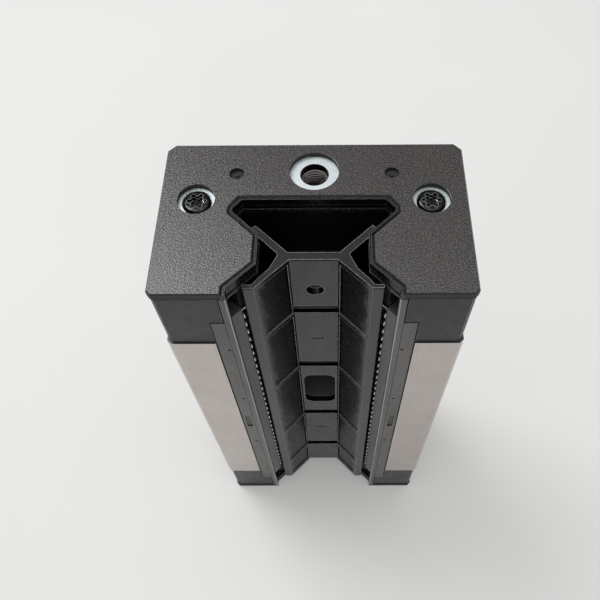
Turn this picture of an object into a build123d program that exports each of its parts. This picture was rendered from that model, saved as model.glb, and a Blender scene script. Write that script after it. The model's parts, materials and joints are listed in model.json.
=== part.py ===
from build123d import *
from math import cos, pi, radians, sin, sqrt
import os

os.makedirs("parts", exist_ok=True)

# Overall sizes, in millimetres. Z is the travel direction, X the width, and +Y faces the table.
# Cross-sections are drawn with y = 0 on the open underside.
length = 179.5
width = 86.0
height = 52.0
plate_thickness = 2.5
plate_gap = 1.05
cap_length = 24.0
corner_chamfer = 2.2
foot_chamfer = 1.3
cap_inset = 0.7
fit_gap = 0.1

# Rail contour that the carriage runs on (size 45 roller rail)
rail_half = 22.4
waist_half = 14.9
crown_top = 31.2
crown_corner = (2.45, 3.0)
flank_mid = 14.65
flank_apex = 10.05

# Rollers and their closed circuits
roller_radius = 2.2
roller_length = 5.6
roller_chamfer = 0.25
roller_pitch = 4.65
rollers_per_turn = 6
crown_row_pitches = 27
foot_row_pitches = 30
row_x = 19.45
roller_seat = 2.25
race_gap = 2.28
channel_width = 4.7
channel_length = roller_length + 0.3
turn_radius = rollers_per_turn * roller_pitch / pi
bore_radius = 4.5
tube_radius = 4.4
retainer_face = roller_length / 2 + 0.18

# Steel body inside the cross-section
nose_x = 17.6
crown_x = 25.0
crown_roof = 33.2
seal_seat_x = 28.8
seal_depth = 2.8

# Fasteners and ports
mount_spacing_x = 60.0
mount_spacing_z = 80.0
mount_thread_radius = 5.0
mount_depth = 17.0
screw_x = 32.7
screw_y = 31.5
screw_head_radius = 4.05
screw_shank_radius = 1.95
screw_reach = 10.0
screw_window = 5.3
lobe_core = 1.85
lobe_circle = 2.1
lobe_radius = 0.65
lobe_depth = 1.2
port_y = 41.6
port_radius = 4.0
port_window = 7.1
plug_radius = 2.5
dimple_x = 22.0
dimple_y = 40.6
dimple_radius = 2.1
dimple_pip = 0.55
dimple_depth = 1.0

# Transport arbor
arbor_start = 3.5
arbor_end = 176.0
web_half = 7.1
web_front = 13.35
web_back = 15.75
arm_thickness = 2.1
rib_tops = (25.0, 64.2, 110.0, 147.8)
rib_thickness = 1.8
groove_width = 4.2
arm_setback = 0.55
window_size = (11.7, 25.0)
window_corner = 3.5
web_hole_radius = 2.6
web_hole_z = 71.0
web_mark_z = 41.5

root2 = sqrt(2)
middle = length / 2
steel_start = plate_thickness + cap_length
steel_end = length - steel_start
plate_back = length - plate_thickness
row_y = row_x - flank_apex - roller_seat * root2
middle_plane = Plane.XY.offset(middle)
CROWN = 1
FOOT = -1
RIGHT = 1
LEFT = -1
row_pitches = {CROWN: crown_row_pitches, FOOT: foot_row_pitches}


def section(z):
    """Cross-section plane at height z, with y = 0 on the underside."""
    return Plane(origin=(0, -height / 2, z), x_dir=(1, 0, 0), z_dir=(0, 0, 1))


def both_sides(points):
    """A right-hand half outline closed by its mirror image."""
    return points + [(-x, y) for x, y in reversed(points) if x != 0]


def flank_y(row, x, gap):
    """Height on a rail flank moved outwards by gap."""
    return flank_mid + row * (x - flank_apex - gap * root2)


def rail_outline(gap, foot=-1.0):
    """Half outline of the rail grown by gap, open at the foot."""
    half = rail_half + gap
    waist = waist_half + gap
    shoulder = crown_top - crown_corner[1] + 0.4 * gap
    return [
        (0, crown_top + gap),
        (half - crown_corner[0], crown_top + gap),
        (half, shoulder),
        (half, flank_y(CROWN, half, gap)),
        (waist, flank_y(CROWN, waist, gap)),
        (waist, flank_y(FOOT, waist, gap)),
        (half, flank_y(FOOT, half, gap)),
        (half, foot),
    ]


def spot(row, outward, along):
    """Point outward from the load row and along the roller axis, away from the nose."""
    x = row_x + (outward + along) / root2
    y = flank_mid + row * (row_y + (along - outward) / root2)
    return (x, y)


def row_plane(side, row):
    """Plane on a load row: X points to the return row, Y lies along the roller axis."""
    x, y = spot(row, 0, 0)
    origin = (side * x, y - height / 2, 0)
    return Plane(origin=origin, x_dir=(side, -row, 0), z_dir=(0, 0, 1))


def straight_ends(row):
    """Heights where the straight run of a circuit starts and ends."""
    half_run = row_pitches[row] * roller_pitch / 2
    return middle - half_run, middle + half_run


def mirrored(piece, about):
    with BuildPart() as image:
        mirror(piece.part, about=about)
    return image


def four_corners(top_right):
    """The piece and its three mirror images, by end and side."""
    top_left = mirrored(top_right, Plane.YZ)
    return {
        "top_right": top_right,
        "top_left": top_left,
        "bottom_right": mirrored(top_right, middle_plane),
        "bottom_left": mirrored(top_left, middle_plane),
    }


# Steel body with its races, return bores, table threads and end screw threads
race_crown = [(crown_x, flank_y(CROWN, crown_x, roller_seat + race_gap))]
race_crown += [(nose_x, flank_y(CROWN, nose_x, roller_seat + race_gap))]
groove_x = seal_seat_x - 3.3
race_foot = [(nose_x, flank_y(FOOT, nose_x, roller_seat + race_gap))]
race_foot += [(groove_x, flank_y(FOOT, groove_x, roller_seat + race_gap))]
cavity = [(0, crown_roof), (crown_x - 1.5, crown_roof), (crown_x, crown_roof - 3.2)]
cavity += race_crown + race_foot
cavity += [(groove_x, seal_depth), (seal_seat_x, seal_depth), (seal_seat_x, -1)]

with BuildPart() as steel_body:
    with BuildSketch(section(steel_start)):
        with Locations((0, height / 2)):
            Rectangle(width, height)
        Polygon(*both_sides(cavity), align=None, mode=Mode.SUBTRACT)
    extrude(amount=steel_end - steel_start)
    long_edges = steel_body.edges().filter_by(Axis.Z)
    outer = long_edges.filter_by(lambda e: abs(e.center().X) > width / 2 - 0.01)
    chamfer(outer.filter_by(lambda e: e.center().Y > 0), corner_chamfer)
    long_edges = steel_body.edges().filter_by(Axis.Z)
    outer = long_edges.filter_by(lambda e: abs(e.center().X) > width / 2 - 0.01)
    chamfer(outer.filter_by(lambda e: e.center().Y < 0), foot_chamfer)
    for side in (RIGHT, LEFT):
        for row in (CROWN, FOOT):
            with BuildSketch(row_plane(side, row).offset(steel_start)):
                with Locations((2 * turn_radius, 0)):
                    Circle(bore_radius)
            extrude(amount=steel_end - steel_start, mode=Mode.SUBTRACT)
    for face_z, into in ((steel_end, -screw_reach), (steel_start, screw_reach)):
        with BuildSketch(section(face_z)):
            with Locations((screw_x, screw_y), (-screw_x, screw_y)):
                Circle(screw_shank_radius + fit_gap)
        extrude(amount=into, mode=Mode.SUBTRACT)
    table_face = Plane(origin=(0, height / 2, middle), x_dir=(1, 0, 0), z_dir=(0, 1, 0))
    with Locations(table_face):
        with GridLocations(mount_spacing_x, mount_spacing_z, 2, 2):
            CounterSinkHole(mount_thread_radius, mount_thread_radius + 0.6, mount_depth, 90)

# End cap: plastic housing with pockets for the turn inserts, the front plate and the lube bush
cap_half = width / 2 - cap_inset
cap_floor = 0.45
cap_roof = height - 0.4
insert_inner = waist_half - 0.4
insert_outer = 39.0
insert_low = seal_depth
insert_high = 27.0
insert_end = steel_end + 20.0
front_plate_low = length - 3.3
front_plate_high = length - 1.7
notch_end = 164.3
tail_x = 24.5
strip_x = 28.45
strip_gap = 0.35
strip_start = rail_half + 0.4
seal_start = rail_half + 0.05
seal_height = 1.5
strip_face = 0.25
outer_dot_z = 58.7
inner_dot_z = 21.7
dot_radius = 0.5
bush_radius = 6.2
bush_depth = 6.0
back_recess_radius = 4.5


def front_plate_outline(grow):
    """U-shaped metal front plate, grown all round."""
    outer = 38.5 + grow
    top = 48.5 + grow
    low = 26.0 - grow
    inner = [p for p in rail_outline(2.2 - grow) if p[1] > low + 2]
    inner_half = rail_half + 2.2 - grow
    corner = [(0, top), (outer - 3, top), (outer, top - 3), (outer, low), (inner_half, low)]
    return corner + list(reversed(inner))


def shell_outline(half, low, high, top_cut, foot_cut):
    return [
        (0, high),
        (half - top_cut, high),
        (half, high - top_cut),
        (half, low + foot_cut),
        (half - foot_cut, low),
        (0, low),
    ]


def strip_slot(reach):
    """Room for the underside strip, as a rectangle from the rail opening outwards."""
    far = reach + strip_gap
    return [(rail_half, -1), (far, -1), (far, seal_depth), (rail_half, seal_depth)]


def plug_plane(side, x):
    """Plane on a side lube port, facing outwards at a distance x from the middle."""
    return Plane(origin=(side * x, port_y - height / 2, steel_end + cap_length / 2), z_dir=(side, 0, 0))


with BuildPart() as end_cap_top:
    with BuildSketch(section(steel_end)):
        shell = shell_outline(cap_half, cap_floor, cap_roof, corner_chamfer + 0.4, 1.1)
        Polygon(*both_sides(shell), align=None)
        Polygon(*both_sides(rail_outline(1.6)), align=None, mode=Mode.SUBTRACT)
    extrude(amount=cap_length)
    with BuildSketch(section(steel_end)):
        pocket_width = insert_outer - insert_inner + 2 * fit_gap
        pocket_height = insert_high - insert_low + 2 * fit_gap
        pocket_x = (insert_inner + insert_outer) / 2
        pocket_y = (insert_low + insert_high) / 2
        for side in (RIGHT, LEFT):
            with Locations((side * pocket_x, pocket_y)):
                Rectangle(pocket_width, pocket_height)
    extrude(amount=insert_end - steel_end + fit_gap, mode=Mode.SUBTRACT)
    for reach, end in ((strip_x, notch_end + strip_gap), (tail_x, plate_back)):
        with BuildSketch(section(steel_end)):
            Polygon(*strip_slot(reach), align=None)
            Polygon(*[(-x, y) for x, y in reversed(strip_slot(reach))], align=None)
        extrude(amount=end - steel_end, mode=Mode.SUBTRACT)
    with BuildSketch(section(front_plate_low)):
        Polygon(*both_sides(front_plate_outline(fit_gap)), align=None)
    extrude(amount=cap_length, mode=Mode.SUBTRACT)
    with BuildSketch(section(front_plate_low - bush_depth)):
        with Locations((0, port_y)):
            Circle(bush_radius + fit_gap)
    extrude(amount=bush_depth, mode=Mode.SUBTRACT)
    with BuildSketch(section(steel_end + 4)):
        with Locations((0, port_y - 1)):
            SlotOverall(8, 2.4, rotation=90)
    extrude(amount=cap_length, mode=Mode.SUBTRACT)
    with BuildSketch(section(steel_end)):
        with Locations((screw_x, screw_y), (-screw_x, screw_y)):
            Circle(screw_shank_radius + 0.3)
    extrude(amount=cap_length, mode=Mode.SUBTRACT)
    for side in (RIGHT, LEFT):
        with BuildSketch(plug_plane(side, cap_half)):
            Circle(plug_radius + fit_gap)
        extrude(amount=-7, mode=Mode.SUBTRACT)
    back_plane = Plane(origin=(0, cap_roof - height / 2, steel_end + cap_length / 2), z_dir=(0, 1, 0))
    with BuildSketch(back_plane):
        Circle(back_recess_radius)
    extrude(amount=-0.5, mode=Mode.SUBTRACT)
    front_edges = end_cap_top.edges().group_by(Axis.Z)[-1]
    shell_edges = front_edges.filter_by(lambda e: e.center().Y < cap_floor - height / 2 + 0.01)
    shell_edges += front_edges.filter_by(lambda e: abs(e.center().X) > cap_half - 0.01)
    chamfer(shell_edges, 0.5)
end_cap_bottom = mirrored(end_cap_top, middle_plane)

# Turn insert: carries the crossing half-turns of both circuits of one side
with BuildPart() as turn_insert:
    insert_gap = 1.1
    shoulder_x = insert_high - flank_mid + flank_apex + insert_gap * root2
    nose_inner = waist_half + insert_gap
    outline = [
        (insert_outer, insert_low),
        (insert_outer, insert_high),
        (shoulder_x, insert_high),
        (nose_inner, flank_y(CROWN, nose_inner, insert_gap)),
        (nose_inner, flank_y(FOOT, nose_inner, insert_gap)),
        spot(FOOT, insert_gap - roller_seat, roller_length / 2 + 0.05),
        spot(FOOT, 2.25, roller_length / 2 + 0.05),
        spot(FOOT, 2.25, retainer_face + 2.9),
        (groove_x + 0.05, insert_low),
    ]
    with BuildSketch(section(steel_end)):
        Polygon(*outline, align=None)
    extrude(amount=insert_end - steel_end)
    for row in (CROWN, FOOT):
        across = row_plane(RIGHT, row)
        turn_z = straight_ends(row)[1]
        if turn_z > steel_end:
            with BuildSketch(across.offset(steel_end)):
                Rectangle(channel_width, channel_length)
                with Locations((2 * turn_radius, 0)):
                    Rectangle(channel_width, channel_length)
            extrude(amount=turn_z - steel_end, mode=Mode.SUBTRACT)
        turn_centre = across.from_local_coords(Vector(turn_radius, 0, turn_z))
        with BuildSketch(across.offset(turn_z)):
            Rectangle(channel_width, channel_length)
        revolve(axis=Axis(turn_centre, across.y_dir), revolution_arc=180, mode=Mode.SUBTRACT)
turn_inserts = four_corners(turn_insert)

# Metal front plate behind the seal plate, with dished screw seats and the lube hole
seat_depth = 0.9
with BuildPart() as front_plate_top:
    with BuildSketch(section(front_plate_low)):
        Polygon(*both_sides(front_plate_outline(0)), align=None)
        with Locations((0, port_y)):
            Circle(port_radius, mode=Mode.SUBTRACT)
        with Locations((screw_x, screw_y), (-screw_x, screw_y)):
            Circle(screw_shank_radius + 0.3, mode=Mode.SUBTRACT)
    extrude(amount=front_plate_high - front_plate_low)
    with BuildSketch(section(front_plate_high)):
        with Locations((screw_x, screw_y), (-screw_x, screw_y)):
            Circle(screw_head_radius + 0.25)
    extrude(amount=-seat_depth, mode=Mode.SUBTRACT)
front_plate_bottom = mirrored(front_plate_top, middle_plane)

# Threaded lube bush set in the end cap behind the front plate
with BuildPart() as lube_bush_top:
    with BuildSketch(section(front_plate_low - bush_depth)):
        with Locations((0, port_y)):
            Circle(bush_radius)
            Circle(port_radius, mode=Mode.SUBTRACT)
    extrude(amount=bush_depth)
lube_bush_bottom = mirrored(lube_bush_top, middle_plane)

# Seal plate: the textured cover at the very end
with BuildPart() as seal_plate_top:
    with BuildSketch(section(plate_back)):
        shell = shell_outline(width / 2 - 0.3, 0.1, height - 0.1, corner_chamfer, foot_chamfer)
        Polygon(*both_sides(shell), align=None)
        Polygon(*both_sides(rail_outline(plate_gap)), align=None, mode=Mode.SUBTRACT)
        with Locations((0, port_y)):
            Circle(port_window, mode=Mode.SUBTRACT)
        with Locations((screw_x, screw_y), (-screw_x, screw_y)):
            Circle(screw_window, mode=Mode.SUBTRACT)
    extrude(amount=plate_thickness)
    with BuildSketch(section(plate_back)):
        Polygon(*both_sides(front_plate_outline(fit_gap)), align=None)
    extrude(amount=front_plate_high - plate_back, mode=Mode.SUBTRACT)
    with BuildSketch(section(length)):
        with Locations((dimple_x, dimple_y), (-dimple_x, dimple_y)):
            Circle(dimple_radius)
            Circle(dimple_pip, mode=Mode.SUBTRACT)
    extrude(amount=-dimple_depth, mode=Mode.SUBTRACT)
    with BuildSketch(section(length)):
        with Locations((dimple_x, dimple_y), (-dimple_x, dimple_y)):
            Circle(dimple_pip + 0.15)
    extrude(amount=-0.6 * dimple_depth, mode=Mode.SUBTRACT)
    front_rim = seal_plate_top.faces().sort_by(Axis.Z)[-1].outer_wire().edges()
    chamfer(front_rim, 0.4)
    back_edges = seal_plate_top.edges().group_by(Axis.Z)[0]
    back_rim = back_edges.filter_by(lambda e: abs(e.center().X) > width / 2 - 0.35)
    back_rim += back_edges.filter_by(lambda e: e.center().Y < 0.15 - height / 2)
    chamfer(back_rim, 0.35)
seal_plate_bottom = mirrored(seal_plate_top, middle_plane)

# Wiper lip: rubber edge around the rail opening, held behind the seal plate
with BuildPart() as wiper_lip_top:
    for start, end, inner_gap, outer_gap, foot in (
        (plate_back, length - 1.0, 0.35, plate_gap, 0.1),
        (plate_back, length - 0.1, 0.0, 0.6, 0.1),
        (plate_back - 1.9, plate_back, 0.35, 1.55, 1.6),
        (plate_back - 2.8, plate_back - 1.9, 0.0, 0.9, 1.6),
    ):
        with BuildSketch(section(start)):
            Polygon(*both_sides(rail_outline(outer_gap, foot)), align=None)
            Polygon(*both_sides(rail_outline(inner_gap, foot - 1)), align=None, mode=Mode.SUBTRACT)
        extrude(amount=end - start)
wiper_lip_bottom = mirrored(wiper_lip_top, middle_plane)

# End screws: flat pan heads with a six-lobe drive
with BuildPart() as end_screws_top:
    head_seat = front_plate_high - seat_depth
    with BuildSketch(section(head_seat)):
        with Locations((screw_x, screw_y), (-screw_x, screw_y)):
            Circle(screw_head_radius)
    extrude(amount=length - 1.0 - head_seat)
    head_rims = end_screws_top.faces().sort_by(Axis.Z)[-2:].edges()
    fillet(head_rims, 1.1)
    with BuildSketch(section(head_seat)):
        with Locations((screw_x, screw_y), (-screw_x, screw_y)):
            Circle(screw_shank_radius)
    extrude(amount=steel_end - screw_reach + 0.5 - head_seat)
    with BuildSketch(section(length - 1.0)):
        for side in (RIGHT, LEFT):
            with Locations((side * screw_x, screw_y)):
                Circle(lobe_core)
                with PolarLocations(lobe_circle, 6):
                    Circle(lobe_radius)
    extrude(amount=-lobe_depth, mode=Mode.SUBTRACT)
end_screws_bottom = mirrored(end_screws_top, middle_plane)

# Set screws that close the side lube ports
with BuildPart() as side_plugs_top:
    for side in (RIGHT, LEFT):
        plug_face = plug_plane(side, cap_half - 0.8)
        with BuildSketch(plug_face):
            Circle(plug_radius)
        extrude(amount=-4)
        with BuildSketch(plug_face):
            RegularPolygon(1.45, 6)
        extrude(amount=-2, mode=Mode.SUBTRACT)
side_plugs_bottom = mirrored(side_plugs_top, middle_plane)

# Side seal: the rounded strip beside the rail foot, from end to end
with BuildPart() as side_seal_right:
    with BuildSketch(section(plate_thickness)):
        with Locations(((seal_start + tail_x) / 2, seal_height / 2)):
            Rectangle(tail_x - seal_start, seal_height)
    extrude(amount=plate_back - plate_thickness)
    low_edges = side_seal_right.edges().filter_by(Axis.Z).group_by(Axis.Y)[0]
    fillet(low_edges, 0.45)
side_seal_left = mirrored(side_seal_right, Plane.YZ)

# Retainers that keep the rollers in when the carriage is off its rail
with BuildPart() as foot_retainer_right:
    outline = [
        (tail_x + 0.05, strip_face),
        (tail_x + 0.05, seal_height + 0.05),
        (strip_start, seal_height + 0.05),
        (strip_start, 2.3),
        spot(FOOT, -1.97, retainer_face),
        spot(FOOT, 2.06, retainer_face),
        spot(FOOT, 2.06, retainer_face + 2.75),
        (groove_x - 0.2, seal_depth - 0.2),
        (strip_x, seal_depth - 0.2),
        (strip_x, strip_face),
    ]
    with BuildSketch(section(length - notch_end)):
        Polygon(*outline, align=None)
    extrude(amount=2 * notch_end - length)
    strip_middle = Vector((tail_x + strip_x) / 2, strip_face - height / 2, middle)
    foot_face = Plane(origin=strip_middle, x_dir=(1, 0, 0), z_dir=(0, -1, 0))
    with BuildSketch(foot_face):
        for end in (-1, 1):
            with Locations((-1.1, end * outer_dot_z), (-0.6, end * inner_dot_z)):
                Circle(dot_radius)
        RectangleRounded(2.0, 11.0, 0.4)
    extrude(amount=-0.35, mode=Mode.SUBTRACT)
foot_retainer_left = mirrored(foot_retainer_right, Plane.YZ)

with BuildPart() as crown_retainer_right:
    outline = [
        spot(CROWN, -1.8, retainer_face + 0.03),
        (rail_half + 0.35, 26.8),
        (rail_half + 0.35, 29.0),
        (crown_x - 0.4, 29.0),
        (crown_x - 0.4, 23.1),
        spot(CROWN, 1.5, retainer_face + 0.03),
    ]
    with BuildSketch(section(steel_start)):
        Polygon(*outline, align=None)
    extrude(amount=steel_end - steel_start)
crown_retainer_left = mirrored(crown_retainer_right, Plane.YZ)

with BuildPart() as nose_frame_right:
    front = waist_half + 0.3
    back = nose_x - 0.15
    outline = [
        (front, flank_mid + 4.75),
        spot(CROWN, -1.97, -retainer_face),
        spot(CROWN, 1.85, -retainer_face),
        (back, flank_mid + 1.45),
        (back, flank_mid - 1.45),
        spot(FOOT, 1.85, -retainer_face),
        spot(FOOT, -1.97, -retainer_face),
        (front, flank_mid - 4.75),
    ]
    with BuildSketch(section(steel_start)):
        Polygon(*outline, align=None)
    extrude(amount=steel_end - steel_start)
nose_frame_left = mirrored(nose_frame_right, Plane.YZ)


# Return tubes: plastic sleeves with a flat channel, one in each bore
def return_tube(side, row):
    with BuildPart() as tube:
        with BuildSketch(row_plane(side, row).offset(steel_start)):
            with Locations((2 * turn_radius, 0)):
                Circle(tube_radius)
                Rectangle(channel_width, channel_length, mode=Mode.SUBTRACT)
        extrude(amount=steel_end - steel_start)
    return tube


# Rollers
with BuildPart() as roller:
    Cylinder(roller_radius, roller_length)
    chamfer(roller.edges().filter_by(GeomType.CIRCLE), roller_chamfer)


def roller_group(side, row, places):
    """Separate rollers of one circuit at (outward, height) places."""
    lie_down = (90, 0, 0)
    with BuildPart() as group:
        with Locations(row_plane(side, row)):
            with Locations(*[Location((outward, 0, z), lie_down) for outward, z in places]):
                add(roller.part)
    return group


def circuit(side, row):
    """The four stretches of one circuit: load row, top turn, return row, bottom turn."""
    low, high = straight_ends(row)
    steps = range(row_pitches[row])
    angles = [radians(180 * i / rollers_per_turn) for i in range(rollers_per_turn)]
    load = [(0, low + i * roller_pitch) for i in steps]
    back = [(2 * turn_radius, high - i * roller_pitch) for i in steps]
    top = [(turn_radius * (1 - cos(a)), high + turn_radius * sin(a)) for a in angles]
    bottom = [(turn_radius * (1 + cos(a)), low - turn_radius * sin(a)) for a in angles]
    stretches = {"load": load, "top_turn": top, "return": back, "bottom_turn": bottom}
    return {name: roller_group(side, row, places) for name, places in stretches.items()}


# Transport arbor: an X-shaped plastic bar that stands in for the rail
foot_tip = 18.7
foot_low = 4.3
foot_high = 5.4


def arm_inner(x, setback=0.0):
    """Height of a lower arm's inner face, set back into the arm."""
    return web_front + web_half - 0.55 - x + setback * root2


def arbor_half():
    """Half of the X cross-section, from the web out along the arms."""
    slant = arm_thickness * root2
    tip_x = 16.2
    tip_y = web_back + tip_x - web_half
    apex_x = web_half + slant - 0.2
    return [
        (0, web_back),
        (web_half, web_back),
        (tip_x, tip_y),
        (tip_x + slant / 2, tip_y - slant / 2),
        (apex_x, web_back - 0.35),
        (apex_x, web_back - 1.05),
        (apex_x + 1.9, 10.6),
        (14.7, 7.4),
        (16.2, foot_high),
        (foot_tip, foot_high),
        (foot_tip, foot_low),
        (web_half - 0.55 + web_front - foot_low, foot_low),
        (web_half - 0.55, web_front),
        (0, web_front),
    ]


with BuildPart() as transport_arbor:
    with BuildSketch(section(arbor_start)):
        Polygon(*both_sides(arbor_half()), align=None)
    extrude(amount=arbor_end - arbor_start)
    stops = (arbor_start + rib_thickness, *rib_tops, arbor_end)
    arm_top = web_half + 0.1
    arm_foot = 14.9
    arm_pocket = [
        (arm_top, arm_inner(arm_top) - 1),
        (arm_top, arm_inner(arm_top, arm_setback)),
        (arm_foot, arm_inner(arm_foot, arm_setback)),
        (arm_foot, arm_inner(arm_foot) - 1),
    ]
    for low, high in zip(stops[:-1], stops[1:]):
        with BuildSketch(section(low)):
            Polygon(*arm_pocket, align=None)
            Polygon(*[(-x, y) for x, y in reversed(arm_pocket)], align=None)
        extrude(amount=high - low - rib_thickness, mode=Mode.SUBTRACT)
    for z in rib_tops:
        with BuildSketch(section(z)):
            with Locations((0, web_front)):
                Rectangle(2 * web_half, 3.2)
        extrude(amount=groove_width, mode=Mode.SUBTRACT)
    web_plane = Plane(origin=(0, web_front - height / 2, middle), x_dir=(1, 0, 0), z_dir=(0, -1, 0))
    with BuildSketch(web_plane):
        RectangleRounded(*window_size, window_corner)
        with Locations((0, web_hole_z)):
            Circle(web_hole_radius)
    extrude(amount=-(web_back - web_front) - 1, mode=Mode.SUBTRACT)
    with BuildSketch(web_plane):
        with Locations((0, web_mark_z), (0, -web_mark_z)):
            Ellipse(web_hole_radius, 1.1)
    extrude(amount=-0.4, mode=Mode.SUBTRACT)
    corners = transport_arbor.edges().filter_by(Axis.Z)
    foot_tips = corners.filter_by(lambda e: abs(e.center().X) > foot_tip - 0.1)
    fillet(foot_tips, 0.4)
    apex_x = web_half + arm_thickness * root2 - 0.2
    corners = transport_arbor.edges().filter_by(Axis.Z)
    fillet(corners.filter_by(lambda e: abs(abs(e.center().X) - apex_x) < 0.05), 0.9)

pieces = {
    "steel_body": steel_body,
    "end_cap_top": end_cap_top,
    "end_cap_bottom": end_cap_bottom,
    "front_plate_top": front_plate_top,
    "front_plate_bottom": front_plate_bottom,
    "lube_bush_top": lube_bush_top,
    "lube_bush_bottom": lube_bush_bottom,
    "seal_plate_top": seal_plate_top,
    "seal_plate_bottom": seal_plate_bottom,
    "wiper_lip_top": wiper_lip_top,
    "wiper_lip_bottom": wiper_lip_bottom,
    "end_screws_top": end_screws_top,
    "end_screws_bottom": end_screws_bottom,
    "side_plugs_top": side_plugs_top,
    "side_plugs_bottom": side_plugs_bottom,
    "side_seal_right": side_seal_right,
    "side_seal_left": side_seal_left,
    "foot_retainer_right": foot_retainer_right,
    "foot_retainer_left": foot_retainer_left,
    "crown_retainer_right": crown_retainer_right,
    "crown_retainer_left": crown_retainer_left,
    "nose_frame_right": nose_frame_right,
    "nose_frame_left": nose_frame_left,
    "transport_arbor": transport_arbor,
}
for corner, insert in turn_inserts.items():
    pieces[f"turn_insert_{corner}"] = insert
for side_name, side in (("right", RIGHT), ("left", LEFT)):
    for row_name, row in (("crown", CROWN), ("foot", FOOT)):
        pieces[f"return_tube_{row_name}_{side_name}"] = return_tube(side, row)
        for stretch, group in circuit(side, row).items():
            pieces[f"rollers_{row_name}_{side_name}_{stretch}"] = group

for name, piece in pieces.items():
    piece.part.label = name
    export_step(piece.part, f"parts/{name}.step")
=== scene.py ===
import json
import math

import bpy
import bmesh
from mathutils import Matrix, Vector


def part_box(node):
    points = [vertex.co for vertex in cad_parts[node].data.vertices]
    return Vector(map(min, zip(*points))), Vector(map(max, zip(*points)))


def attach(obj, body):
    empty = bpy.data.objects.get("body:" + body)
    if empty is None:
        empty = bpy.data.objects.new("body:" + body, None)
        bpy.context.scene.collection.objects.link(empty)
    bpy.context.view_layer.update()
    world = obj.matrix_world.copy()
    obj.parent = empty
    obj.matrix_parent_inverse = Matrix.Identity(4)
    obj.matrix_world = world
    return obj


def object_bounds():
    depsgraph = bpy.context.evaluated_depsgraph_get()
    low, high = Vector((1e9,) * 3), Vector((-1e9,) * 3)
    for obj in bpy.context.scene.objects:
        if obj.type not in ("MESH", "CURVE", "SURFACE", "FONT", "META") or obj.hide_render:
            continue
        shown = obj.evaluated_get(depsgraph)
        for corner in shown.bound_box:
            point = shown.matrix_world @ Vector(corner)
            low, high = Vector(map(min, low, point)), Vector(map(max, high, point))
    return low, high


# Colours are linear, lengths are in metres.
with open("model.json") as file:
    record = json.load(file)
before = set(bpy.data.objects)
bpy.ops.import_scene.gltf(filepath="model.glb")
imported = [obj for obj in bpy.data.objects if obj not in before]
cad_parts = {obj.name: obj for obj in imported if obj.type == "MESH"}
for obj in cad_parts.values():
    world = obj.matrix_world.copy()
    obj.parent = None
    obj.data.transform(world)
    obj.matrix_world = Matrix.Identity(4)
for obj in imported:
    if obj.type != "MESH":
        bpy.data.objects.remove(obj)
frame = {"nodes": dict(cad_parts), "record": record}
cad_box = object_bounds()
MM = 0.001
UNDERSIDE = cad_box[0].y
MIDDLE_Z = (cad_box[0].z + cad_box[1].z) / 2
CARRIAGE = "carriage"
ENDS = {"top": 1, "bottom": -1}


# ---------------------------------------------------------------- material helpers

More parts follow.
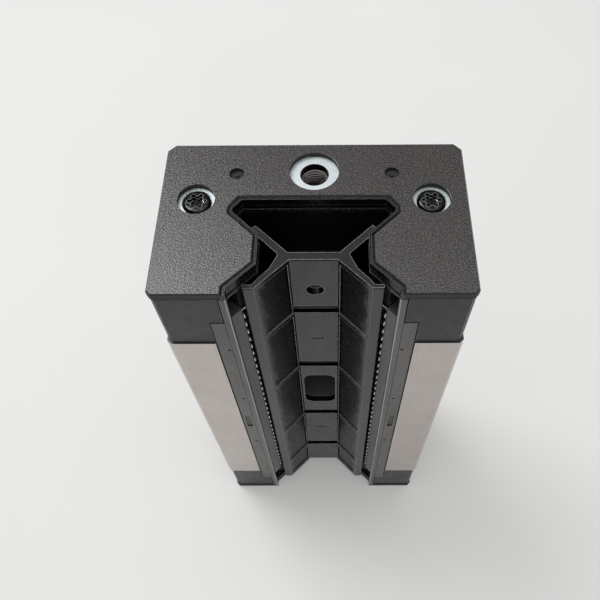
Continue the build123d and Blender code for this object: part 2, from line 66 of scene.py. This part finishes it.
class Finish:
    """A node material on a Principled shader, with short calls for its textures."""

    def __init__(self, name, color, roughness, metallic=0.0):
        self.material = bpy.data.materials.new(name)
        self.material.use_nodes = True
        self.nodes = self.material.node_tree.nodes
        self.links = self.material.node_tree.links
        self.shader = self.nodes["Principled BSDF"]
        self.shader.inputs["Base Color"].default_value = (*color, 1)
        self.shader.inputs["Roughness"].default_value = roughness
        self.shader.inputs["Metallic"].default_value = metallic
        self.place = self.nodes.new("ShaderNodeTexCoord").outputs["Object"]

    def add(self, kind, **settings):
        """A new node with some of its settings."""
        node = self.nodes.new(kind)
        for key, value in settings.items():
            setattr(node, key, value)
        return node

    def stretched(self, scale):
        """Object coordinates scaled along each axis, for grain that runs one way."""
        mapping = self.add("ShaderNodeMapping")
        mapping.inputs["Scale"].default_value = scale
        self.links.new(self.place, mapping.inputs["Vector"])
        return mapping.outputs["Vector"]

    def noise(self, size, detail=2.0, roughness=0.5, along=None):
        """Noise whose features are about size metres across."""
        node = self.add("ShaderNodeTexNoise")
        node.inputs["Scale"].default_value = 1 / size
        node.inputs["Detail"].default_value = detail
        node.inputs["Roughness"].default_value = roughness
        self.links.new(along or self.place, node.inputs["Vector"])
        return node.outputs["Fac"]

    def cells(self, size):
        """Distance to the middles of cells about size metres across."""
        node = self.add("ShaderNodeTexVoronoi", feature="F1")
        node.inputs["Scale"].default_value = 1 / size
        self.links.new(self.place, node.inputs["Vector"])
        return node.outputs["Distance"]

    def spread(self, value, low, high, from_low=0.3, from_high=0.7):
        """Maps a texture value onto a range."""
        node = self.add("ShaderNodeMapRange")
        node.inputs["From Min"].default_value = from_low
        node.inputs["From Max"].default_value = from_high
        node.inputs["To Min"].default_value = low
        node.inputs["To Max"].default_value = high
        self.links.new(value, node.inputs["Value"])
        return node.outputs["Result"]

    def blend(self, factor, first, second):
        """Mixes two colours, each a tuple or a socket: first at factor 0, second at 1."""
        node = self.add("ShaderNodeMix", data_type="RGBA")
        self.links.new(factor, node.inputs[0])
        for socket, value in ((node.inputs[6], first), (node.inputs[7], second)):
            if isinstance(value, tuple):
                socket.default_value = (*value, 1)
            else:
                self.links.new(value, socket)
        return node.outputs[2]

    def color(self, value):
        self.links.new(value, self.shader.inputs["Base Color"])

    def roughness(self, value):
        self.links.new(value, self.shader.inputs["Roughness"])

    def bump(self, *layers):
        """Stacks bump layers, each (height, depth in metres, strength)."""
        normal = None
        for height, depth, strength in layers:
            node = self.add("ShaderNodeBump")
            node.inputs["Distance"].default_value = depth
            node.inputs["Strength"].default_value = strength
            self.links.new(height, node.inputs["Height"])
            if normal:
                self.links.new(normal, node.inputs["Normal"])
            normal = node.outputs["Normal"]
        self.links.new(normal, self.shader.inputs["Normal"])

    def beyond_ends(self, depth):
        """1 on surfaces further in than depth from either end face, 0 on the end faces."""
        offset = self.math("SUBTRACT", self.position("Z"), MIDDLE_Z)
        reach = self.math("ABSOLUTE", offset)
        return self.math("LESS_THAN", reach, MIDDLE_Z - cad_box[0].z - depth)

    def normal_part(self, axis):
        """One component of the flat face normal."""
        flat = self.add("ShaderNodeNewGeometry")
        split = self.add("ShaderNodeSeparateXYZ")
        self.links.new(flat.outputs["True Normal"], split.inputs["Vector"])
        return split.outputs[axis]

    def tilted(self, axis, middle, reach):
        """1 on faces whose tilt against an axis is within reach of middle, 0 on the others."""
        lean = self.math("ABSOLUTE", self.normal_part(axis))
        off_middle = self.math("ABSOLUTE", self.math("SUBTRACT", lean, middle))
        return self.math("LESS_THAN", off_middle, reach)

    def square_to(self, axis):
        """1 on faces square to an axis, 0 on the others."""
        return self.tilted(axis, 1.0, 0.1)

    def chamfers(self):
        """1 on faces that slope against the travel axis, 0 on the others."""
        return self.tilted("Z", 0.65, 0.25)

    def position(self, axis):
        """One component of the object coordinates."""
        split = self.add("ShaderNodeSeparateXYZ")
        self.links.new(self.place, split.inputs["Vector"])
        return split.outputs[axis]

    def below(self, height_y):
        """1 nearer the rail side than a plane across Y, 0 beyond it."""
        return self.math("LESS_THAN", self.position("Y"), height_y)

    def within(self, reach):
        """1 nearer the middle plane than reach, 0 beyond it."""
        return self.math("LESS_THAN", self.math("ABSOLUTE", self.position("X")), reach)

    def near_axis(self, axis, radius):
        """1 within radius of a line along Z through the point axis, 0 further out."""
        flat = self.add("ShaderNodeVectorMath", operation="SUBTRACT")
        self.links.new(self.place, flat.inputs[0])
        flat.inputs[1].default_value = axis
        level = self.add("ShaderNodeVectorMath", operation="MULTIPLY")
        self.links.new(flat.outputs["Vector"], level.inputs[0])
        level.inputs[1].default_value = (1, 1, 0)
        reach = self.add("ShaderNodeVectorMath", operation="LENGTH")
        self.links.new(level.outputs["Vector"], reach.inputs[0])
        return self.math("LESS_THAN", reach.outputs["Value"], radius)

    def math(self, operation, value, second=0.0):
        """One step of arithmetic on a socket, with a number or another socket."""
        node = self.add("ShaderNodeMath", operation=operation)
        self.links.new(value, node.inputs[0])
        if isinstance(second, (int, float)):
            node.inputs[1].default_value = second
        else:
            self.links.new(second, node.inputs[1])
        return node.outputs["Value"]

    def edges(self, radius, low=0.02, high=0.25):
        """1 along sharp edges and 0 on flats, from the angle of a rounded normal."""
        rounded = self.add("ShaderNodeBevel", samples=6)
        rounded.inputs["Radius"].default_value = radius
        flat = self.add("ShaderNodeNewGeometry")
        dot = self.add("ShaderNodeVectorMath", operation="DOT_PRODUCT")
        self.links.new(rounded.outputs["Normal"], dot.inputs[0])
        self.links.new(flat.outputs["Normal"], dot.inputs[1])
        return self.spread(dot.outputs["Value"], 1.0, 0.0, 1 - high, 1 - low)


# ---------------------------------------------------------------- materials

PORT_RADIUS = 4.0 * MM


def port_axis():
    """A point on the line through both lubrication ports."""
    low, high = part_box("lube_bush_top")
    return (low + high) / 2


def textured_black():
    """Spark-eroded cover plate: coarse speckled grain on the face, smooth dimples and every deeper
    recess painted near black as shade, chamfers painted near black as shade.
    """
    finish = Finish("textured_black", (0.03, 0.029, 0.028), 0.5)
    grain = finish.noise(0.40 * MM, detail=3, roughness=0.6)
    speck = finish.noise(0.44 * MM, detail=2, roughness=0.7)
    patch = finish.noise(9 * MM, detail=2)
    dark = finish.blend(finish.spread(patch, 0, 1), (0.004, 0.004, 0.004), (0.010, 0.0095, 0.009))
    face = finish.blend(finish.spread(speck, 0, 1, 0.48, 0.58), dark, (0.100, 0.086, 0.080))
    dimple_depth = 0.45 * MM
    matt = 0.8
    # Painted shade: every surface deeper than the dimple depth behind the face, the dimples and other
    # recesses, is made near black and matt.
    recess_shade = finish.beyond_ends(dimple_depth)
    flat = finish.blend(recess_shade, face, (0.003, 0.003, 0.003))
    # Painted shade: chamfers are made near black, as a dark seam line.
    finish.color(finish.blend(finish.chamfers(), flat, (0.002, 0.002, 0.002)))
    satin = finish.spread(speck, 0.28, 0.18)
    finish.roughness(finish.math("MAXIMUM", satin, finish.math("MULTIPLY", recess_shade, matt)))
    finish.shader.inputs["Specular IOR Level"].default_value = 1.0
    finish.bump((grain, 0.125 * MM, 0.8))
    return finish.material


def moulded_black(name, tone, grain_size=0.3, depth=0.03, rough=(0.38, 0.5), edge_highlight_gain=2.6):
    """Injection-moulded plastic with a fine grain and faint flow marks, edges lightened as a painted
    highlight with some rub wear, and chamfers painted near black as shade.
    """
    finish = Finish(name, tone, rough[0])
    flow = finish.noise(7 * MM, detail=3, along=finish.stretched((1, 1, 0.35)))
    dark = tuple(0.75 * c for c in tone)
    light = tuple(1.3 * c for c in tone)
    body = finish.blend(finish.spread(flow, 0, 1), dark, light)
    # Painted highlight with some rub wear: the tone is lightened along sharp edges.
    edge_wear_and_highlight = finish.edges(0.22 * MM)
    edge_highlighted_tone = finish.blend(edge_wear_and_highlight, body, tuple(edge_highlight_gain * c for c in tone))
    # Painted shade: chamfers are made near black, as a dark seam line.
    finish.color(finish.blend(finish.chamfers(), edge_highlighted_tone, (0.001, 0.001, 0.001)))
    finish.roughness(finish.spread(finish.noise(2.5 * MM, detail=4), *rough))
    finish.bump((finish.noise(grain_size * MM, detail=3), depth * MM, 0.5))
    return finish.material


def arbor_plastic():
    """Moulded transport arbor, its tones painted by face direction and place: grey web panels,
    near-black arms as painted shade, a dark band under each end as painted shadow, lighter rib tops as
    painted highlight, a light band at the bottom as painted reflection of the floor, and edges
    lightened as painted highlight with scuffs.
    """
    finish = Finish("arbor_plastic", (0.003, 0.003, 0.003), 0.26)
    flow = finish.noise(6 * MM, detail=3, along=finish.stretched((1, 1, 0.35)))
    panel = finish.blend(finish.spread(flow, 0, 1), (0.070, 0.069, 0.070), (0.094, 0.093, 0.094))
    scuff = finish.spread(finish.noise(0.7 * MM, detail=4, roughness=0.7), 0.15, 0.9)
    # Painted shade: faces not square to Y, mostly the arms, are made near black; faces square to Y
    # keep the grey panel tone.
    facing_shade = finish.blend(finish.square_to("Y"), (0.002, 0.002, 0.002), panel)
    # Painted reflection of the floor: the lowest few millimetres are made light grey, with a ragged
    # streaky upper boundary.
    streaks = finish.noise(1.8 * MM, detail=4, roughness=0.65, along=finish.stretched((1, 1, 0.3)))
    ragged = finish.math("MULTIPLY", streaks, 5 * MM)
    height = finish.math("SUBTRACT", finish.position("Y"), ragged)
    foot_reflection = finish.spread(height, 1.0, 0.0, UNDERSIDE + 2.6 * MM, UNDERSIDE + 4.4 * MM)
    facing_shade = finish.blend(foot_reflection, facing_shade, (0.092, 0.090, 0.090))
    end_depth = 4 * MM
    end_shadow_depth = 4.3 * MM
    arm_start = 7.2 * MM
    # Painted shadow: faces square to Y within a few millimetres of each end are made near black, a
    # dark band under the end faces.
    end_shadow = finish.math("SUBTRACT", finish.square_to("Y"), finish.beyond_ends(end_shadow_depth))
    facing_shade = finish.blend(end_shadow, facing_shade, (0.004, 0.004, 0.004))
    # Painted highlight: faces square to Z away from the end faces and out on the arms, the rib tops,
    # are lightened.
    inner = finish.math("MULTIPLY", finish.square_to("Z"), finish.beyond_ends(end_depth))
    rib_top_highlight = finish.math("SUBTRACT", inner, finish.within(arm_start))
    facing_shade = finish.blend(rib_top_highlight, facing_shade, (0.13, 0.13, 0.13))
    end = finish.math("SUBTRACT", finish.square_to("Z"), finish.beyond_ends(end_depth))
    body = finish.blend(end, facing_shade, (0.036, 0.036, 0.0365))
    # Painted highlight with scuffs: sharp edges are made near white where the scuff noise is high.
    edge_wear_and_highlight = finish.edges(0.42 * MM, 0.01)
    marked = finish.math("MULTIPLY", edge_wear_and_highlight, scuff)
    finish.color(finish.blend(marked, body, (0.75, 0.75, 0.74)))
    finish.roughness(finish.spread(finish.noise(2.5 * MM, detail=4), 0.20, 0.32))
    finish.shader.inputs["Specular IOR Level"].default_value = 0.12
    finish.bump((finish.noise(0.22 * MM, detail=2), 0.002 * MM, 0.5))
    return finish.material


def strip_plastic():
    """Underside strips: satin grey-black, with a painted highlight along the rounded sealing edge."""
    finish = Finish("strip_plastic", (0.03, 0.03, 0.0305), 0.38)
    flow = finish.noise(7 * MM, detail=3, along=finish.stretched((1, 1, 0.2)))
    body = finish.blend(finish.spread(flow, 0, 1), (0.070, 0.067, 0.065), (0.108, 0.104, 0.101))
    lip_top = UNDERSIDE + 0.6 * MM
    lip_reach = 23.5 * MM
    # Painted highlight: sloped faces of the rounded sealing edge near the underside, on the inner side
    # only, are made light grey.
    rounded = finish.math("MULTIPLY", finish.tilted("X", 0.6, 0.36), finish.below(lip_top))
    rounded = finish.math("MULTIPLY", rounded, finish.within(lip_reach))
    sealing_edge_highlight = finish.blend(rounded, body, (0.42, 0.42, 0.425))
    # Of the faces square to Y, only the floors of the marks lie between these two heights.
    mark_low = UNDERSIDE + 0.45 * MM
    mark_high = UNDERSIDE + 0.8 * MM
    level = finish.math("MULTIPLY", finish.square_to("Y"), finish.below(mark_high))
    marked = finish.math("SUBTRACT", level, finish.below(mark_low))
    finish.color(finish.blend(marked, sealing_edge_highlight, (0.006, 0.006, 0.006)))
    finish.roughness(finish.spread(finish.noise(2.5 * MM, detail=4), 0.32, 0.44))
    finish.bump((finish.noise(0.25 * MM, detail=3), 0.012 * MM, 0.5))
    return finish.material


def ground_steel():
    """Surface-ground bearing steel: fine lines along the travel, with painted shade on the faces in
    the rail opening and on the end faces.
    """
    finish = Finish("ground_steel", (0.56, 0.53, 0.50), 0.32, metallic=1.0)
    lines = finish.noise(0.16 * MM, detail=4, roughness=0.65, along=finish.stretched((1, 1, 0.02)))
    cloud = finish.noise(14 * MM, detail=3)
    body = finish.blend(finish.spread(cloud, 0, 1), (0.545, 0.497, 0.472), (0.605, 0.555, 0.531))
    ground = finish.blend(finish.spread(lines, 0, 0.35), body, (0.42, 0.39, 0.37))
    opening_reach = 25.2 * MM
    opening_top = 7.6 * MM
    # Painted shade: steel faces in the rail opening are darkened.
    opening_shade = finish.math("MULTIPLY", finish.within(opening_reach), finish.below(opening_top))
    ground = finish.blend(opening_shade, ground, (0.16, 0.15, 0.145))
    end_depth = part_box("steel_body")[0].z - cad_box[0].z + 0.8 * MM
    # Painted shade: end faces and chamfers near each end are darkened, which also hides their glint.
    end_shade = finish.math("SUBTRACT", finish.tilted("Z", 0.8, 0.4), finish.beyond_ends(end_depth))
    finish.color(finish.blend(end_shade, ground, (0.09, 0.085, 0.082)))
    finish.roughness(finish.spread(lines, 0.36, 0.48))
    finish.bump((lines, 0.006 * MM, 0.35))
    return finish.material


def zinc_steel():
    """Zinc-plated steel: bluish white with a faint mottle, a glossy bore painted near black as shade,
    and thread crests kept light as a painted highlight.
    """
    finish = Finish("zinc_steel", (0.66, 0.74, 0.78), 0.4, metallic=0.6)
    mottle = finish.cells(1.4 * MM)
    body = finish.blend(finish.spread(mottle, 0, 1, 0.1, 0.9), (0.78, 0.87, 0.90), (0.87, 0.94, 0.96))
    bore = finish.near_axis(port_axis(), PORT_RADIUS + 0.12 * MM)
    crest = finish.near_axis(port_axis(), PORT_RADIUS - 0.12 * MM)
    # Painted shade: the port bore is made near black; the thread crests nearer the axis are kept light
    # as a painted highlight.
    bore_shade = finish.blend(bore, body, (0.012, 0.011, 0.0105))
    finish.color(finish.blend(crest, bore_shade, (0.62, 0.57, 0.56)))
    satin = finish.spread(finish.noise(0.8 * MM, detail=3), 0.34, 0.48)
    oil_gloss = 0.22
    finish.roughness(finish.math("SUBTRACT", satin, finish.math("MULTIPLY", bore, oil_gloss)))
    finish.bump((finish.noise(0.25 * MM, detail=3), 0.01 * MM, 0.4))
    return finish.material


def black_rubber():
    """Wiper rubber: near black, with a dull skin and edges lightened as a faint painted highlight."""
    finish = Finish("black_rubber", (0.006, 0.006, 0.006), 0.36)
    edge_wear_and_highlight = finish.edges(0.2 * MM)
    # Painted highlight: sharp edges are lightened to grey.
    finish.color(finish.blend(edge_wear_and_highlight, (0.003, 0.003, 0.0032), (0.30, 0.30, 0.30)))
    finish.roughness(finish.spread(finish.noise(1.2 * MM, detail=4), 0.20, 0.40))
    finish.shader.inputs["Specular IOR Level"].default_value = 0.4
    finish.bump((finish.noise(0.5 * MM, detail=4), 0.06 * MM, 0.7))
    return finish.material


def black_screw():
    """Black-oxide steel: glossy and oiled, with edges lightened as a painted highlight with some rub
    wear.
    """
    finish = Finish("black_screw", (0.05, 0.05, 0.052), 0.12, metallic=1.0)
    edge_wear_and_highlight = finish.edges(0.5 * MM)
    smear = finish.noise(0.9 * MM, detail=3)
    body = finish.blend(finish.spread(smear, 0, 1), (0.020, 0.020, 0.021), (0.070, 0.070, 0.072))
    # Painted highlight with some rub wear: sharp edges and recess rims are made light.
    finish.color(finish.blend(edge_wear_and_highlight, body, (0.85, 0.85, 0.86)))
    finish.roughness(finish.spread(finish.noise(0.5 * MM, detail=3), 0.08, 0.22))
    finish.bump((finish.noise(0.5 * MM, detail=2), 0.03 * MM, 0.5))
    return finish.material


def roller_steel():
    """Polished rollers with a trace of oil."""
    finish = Finish("roller_steel", (0.52, 0.52, 0.51), 0.12, metallic=1.0)
    finish.roughness(finish.spread(finish.noise(0.9 * MM, detail=3), 0.07, 0.2))
    finish.bump((finish.noise(0.2 * MM, detail=2), 0.004 * MM, 0.3))
    return finish.material


FINISHES = {
    "textured_black": textured_black(),
    # The last number sets how strongly the edges are lightened as painted highlight.
    "cap_plastic": moulded_black("cap_plastic", (0.008, 0.008, 0.0084), 0.3, 0.02, (0.36, 0.48), 36.0),
    "strip_plastic": strip_plastic(),
    "arbor_plastic": arbor_plastic(),
    "insert_plastic": moulded_black("insert_plastic", (0.012, 0.012, 0.012)),
    "ground_steel": ground_steel(),
    "zinc_steel": zinc_steel(),
    "black_rubber": black_rubber(),
    "black_screw": black_screw(),
    "roller_steel": roller_steel(),
}


def dress_cad_nodes():
    """Gives every CAD node the finish of its material slot."""
    for entry in frame["record"]["subparts"]:
        mesh = frame["nodes"][entry["node"]]
        mesh.data.materials.clear()
        mesh.data.materials.append(FINISHES[entry["material_slot"]])


# ---------------------------------------------------------------- threads

def thread(name, mouth, outward, radius, core, pitch, depth, slot_name):
    """A helical screw thread inside a hole: ridges from its wall in to near the core radius."""
    steps = 40
    turns = int(depth / pitch)
    mesh = bmesh.new()
    crest = core + 0.15 * pitch
    profile = ((radius, -0.48), (crest, -0.1), (crest, 0.1), (radius, 0.48))
    rings = []
    for step in range(turns * steps + 1):
        angle = 2 * math.pi * step / steps
        rise = -(step / steps + 0.5) * pitch
        fade = min(1.0, step / (steps / 2), (turns * steps - step) / (steps / 2) + 0.02)
        ring = []
        for reach, offset in profile:
            r = radius - (radius - reach) * fade
            spot = (r * math.cos(angle), r * math.sin(angle), rise + offset * pitch)
            ring.append(mesh.verts.new(spot))
        rings.append(ring)
    for low, high in zip(rings[:-1], rings[1:]):
        for i in range(len(profile)):
            j = (i + 1) % len(profile)
            mesh.faces.new((low[i], low[j], high[j], high[i]))
    mesh.faces.new(rings[0])
    mesh.faces.new(reversed(rings[-1]))
    bmesh.ops.recalc_face_normals(mesh, faces=mesh.faces)
    turn = Vector(outward).to_track_quat("Z", "Y").to_matrix().to_4x4()
    mesh.transform(Matrix.Translation(mouth) @ turn)
    data = bpy.data.meshes.new(name)
    mesh.to_mesh(data)
    mesh.free()
    data.materials.append(FINISHES[slot_name])
    piece = bpy.data.objects.new(name, data)
    bpy.context.collection.objects.link(piece)
    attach(piece, CARRIAGE)
    return piece


def lube_port_threads():
    """M8 x 1 threads that start below a plain mouth in each port."""
    plain_mouth = 1.3 * MM
    core = 3.5 * MM
    pitch = 1.0 * MM
    depth = 6.0 * MM
    for end, sign in ENDS.items():
        low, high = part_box(f"lube_bush_{end}")
        plate_low, plate_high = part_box(f"front_plate_{end}")
        mouth = (low + high) / 2
        mouth.z = plate_high.z if sign > 0 else plate_low.z
        mouth.z -= sign * plain_mouth
        outward = (0, 0, sign)
        thread(f"lube_thread_{end}", mouth, outward, PORT_RADIUS, core, pitch, depth, "zinc_steel")


def mounting_threads():
    """M10 x 1.5 threads in the four holes of the mounting face."""
    radius = 5.0 * MM
    core = 4.3 * MM
    pitch = 1.5 * MM
    depth = 15.0 * MM
    columns = (-30, 30)
    rows = (-40, 40)
    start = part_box("steel_body")[1].y - 0.7 * MM
    spots = [(x, z) for x in columns for z in rows]
    for number, (x, z) in enumerate(spots, 1):
        mouth = Vector((x * MM, start, MIDDLE_Z + z * MM))
        thread(f"mount_thread_{number}", mouth, (0, 1, 0), radius, core, pitch, depth, "ground_steel")


# ---------------------------------------------------------------- studio

def sky(height_stops):
    """World light that changes with the height above the horizon."""
    world = bpy.data.worlds.new("studio")
    world.use_nodes = True
    nodes = world.node_tree.nodes
    links = world.node_tree.links
    place = nodes.new("ShaderNodeTexCoord")
    split = nodes.new("ShaderNodeSeparateXYZ")
    ramp = nodes.new("ShaderNodeValToRGB")
    links.new(place.outputs["Generated"], split.inputs["Vector"])
    links.new(split.outputs["Z"], ramp.inputs["Fac"])
    links.new(ramp.outputs["Color"], nodes["Background"].inputs["Color"])
    while len(ramp.color_ramp.elements) < len(height_stops):
        ramp.color_ramp.elements.new(0.5)
    for element, (height, level) in zip(ramp.color_ramp.elements, height_stops):
        element.position = height
        element.color = (level, level, level, 1)
    nodes["Background"].inputs["Strength"].default_value = 1.0
    bpy.context.scene.world = world


def area_light(name, place, aim, size, power):
    """A square lamp of some size and power that points at aim."""
    light = bpy.data.lights.new(name, "AREA")
    light.size = size
    light.energy = power
    lamp = bpy.data.objects.new(name, light)
    bpy.context.collection.objects.link(lamp)
    lamp.location = place
    lamp.rotation_euler = (Vector(aim) - Vector(place)).to_track_quat("-Z", "Y").to_euler()


def studio():
    """A pale floor that glows a little, a sky that is brightest overhead, and one large lamp."""
    half = 3.0
    floor_gap = 0.0002
    white = (0.89, 0.89, 0.875)
    corners = [(-half, -half, 0), (half, -half, 0), (half, half, 0), (-half, half, 0)]
    floor_mesh = bpy.data.meshes.new("floor")
    floor_mesh.from_pydata(corners, [], [(0, 1, 2, 3)])
    floor = bpy.data.objects.new("floor", floor_mesh)
    bpy.context.collection.objects.link(floor)
    floor.location.z = cad_box[0].z - floor_gap
    finish = Finish("floor", white, 0.7)
    cloud = finish.spread(finish.noise(0.25, detail=2), 0, 1)
    finish.color(finish.blend(cloud, (0.68, 0.68, 0.668), (0.715, 0.715, 0.703)))
    finish.shader.inputs["Emission Color"].default_value = (*white, 1)
    finish.shader.inputs["Emission Strength"].default_value = 0.2
    finish.shader.inputs["Specular IOR Level"].default_value = 0.2
    floor_mesh.materials.append(finish.material)
    sky(((0.0, 0.48), (0.3, 0.54), (0.67, 0.12), (0.82, 0.60), (1.0, 1.60)))
    area_light("key", place=(-1.05, 0.80, 1.93), aim=(0, 0, 0.1), size=1.1, power=20.0)


def photo_camera():
    """Looks steeply down on the upper end, from the rail-opening side."""
    place = (0.00523, -0.11157, 0.31706)
    pitch = math.radians(60.76)
    yaw = math.radians(-0.75)
    roll = math.radians(-0.88)
    reach = math.cos(pitch)
    forward = Vector((math.sin(yaw) * reach, math.cos(yaw) * reach, -math.sin(pitch)))
    level = Vector((math.cos(yaw), -math.sin(yaw), 0))
    upright = level.cross(forward)
    right = level * math.cos(roll) + upright * math.sin(roll)
    up = upright * math.cos(roll) - level * math.sin(roll)
    camera = bpy.data.cameras.new("photo_camera")
    camera.sensor_width = 36.0
    camera.lens = 38.45
    camera.shift_x = -0.0487
    camera.shift_y = 0.0409
    camera.clip_start = 0.004
    camera.clip_end = 20
    view = bpy.data.objects.new("photo_camera", camera)
    bpy.context.collection.objects.link(view)
    turn = Matrix((right, up, -forward)).transposed()
    view.matrix_world = Matrix.Translation(place) @ turn.to_4x4()
    bpy.context.scene.camera = view


dress_cad_nodes()
lube_port_threads()
mounting_threads()
studio()
photo_camera()
bpy.context.scene.view_settings.view_transform = "Standard"
